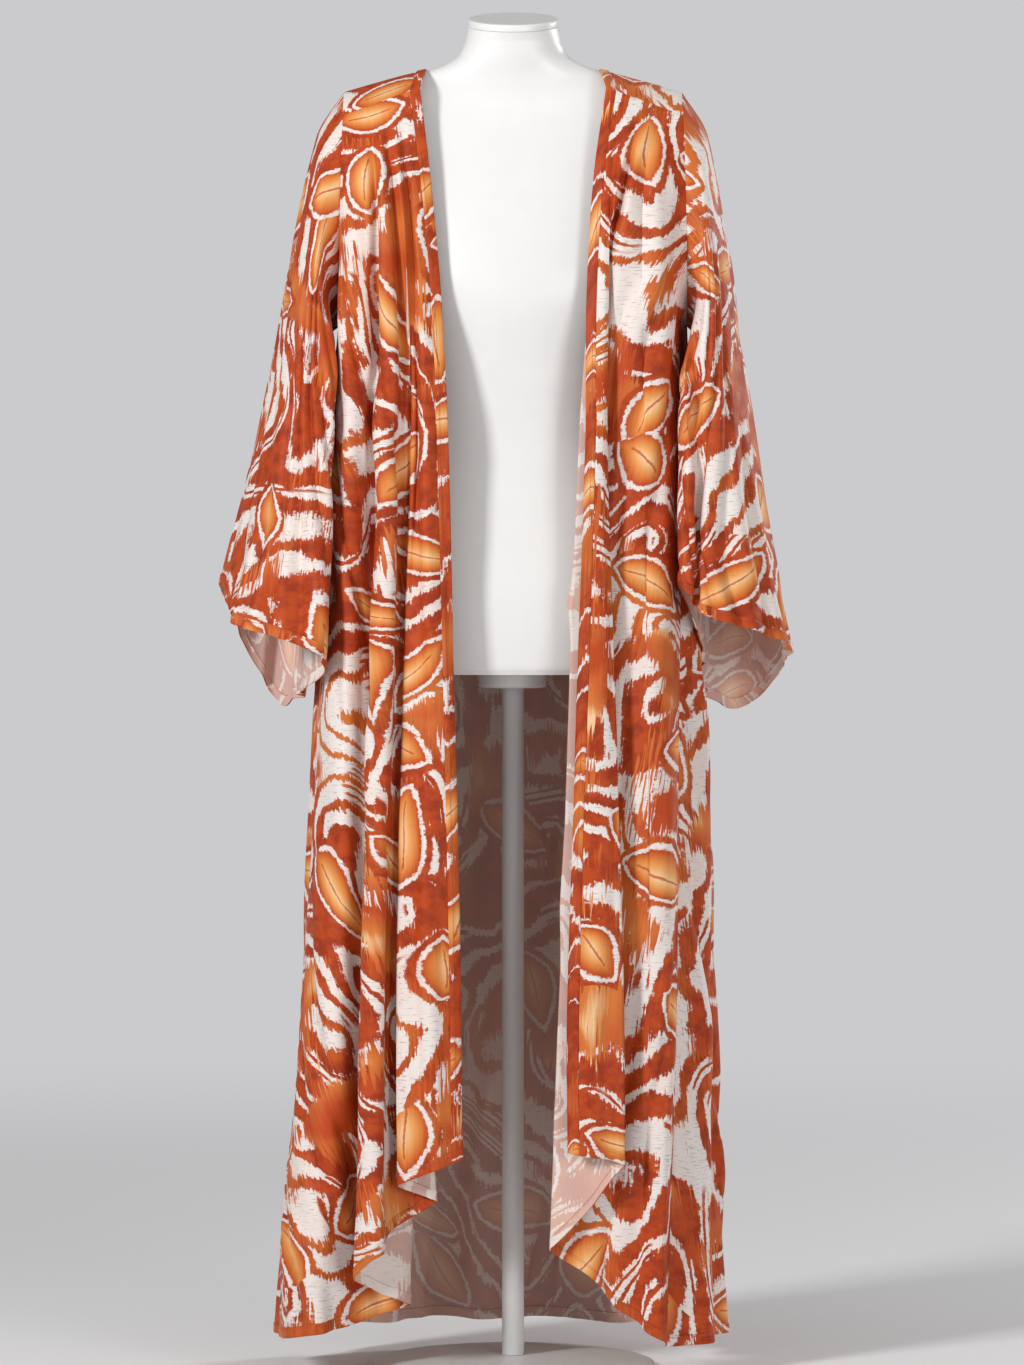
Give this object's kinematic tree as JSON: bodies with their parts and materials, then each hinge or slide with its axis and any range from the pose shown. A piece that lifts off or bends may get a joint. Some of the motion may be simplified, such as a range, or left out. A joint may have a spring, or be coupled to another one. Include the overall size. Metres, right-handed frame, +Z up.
{
  "type": "kimono cardigan on dress form",
  "caption": "long open-front kimono cardigan with wide drooping sleeves and waterfall front hem, worn by a limbless dress form on a pole and round base",
  "frame": {"origin": "centre of the underside of the round base, on the floor", "axes": "+Z up, the front faces -Y, and the wearer's right is at -X"},
  "size_m": [0.6434, 0.3351, 1.535],
  "materials": {
    "printed_cloth": "soft sheen",
    "form_shell": "satin",
    "stand": "satin"
  },
  "bodies": {
    "root": {"back": "printed_cloth", "front_right": "printed_cloth", "front_left": "printed_cloth", "sleeve_right": "printed_cloth", "sleeve_left": "printed_cloth", "front_band": "printed_cloth", "hem_band": "printed_cloth", "cuff_band_right": "printed_cloth", "cuff_band_left": "printed_cloth", "form_torso": "form_shell", "form_neck_cap": "form_shell", "stand_collar": "stand", "stand_pole": "stand", "stand_base": "stand"}
  },
  "joints": []
}
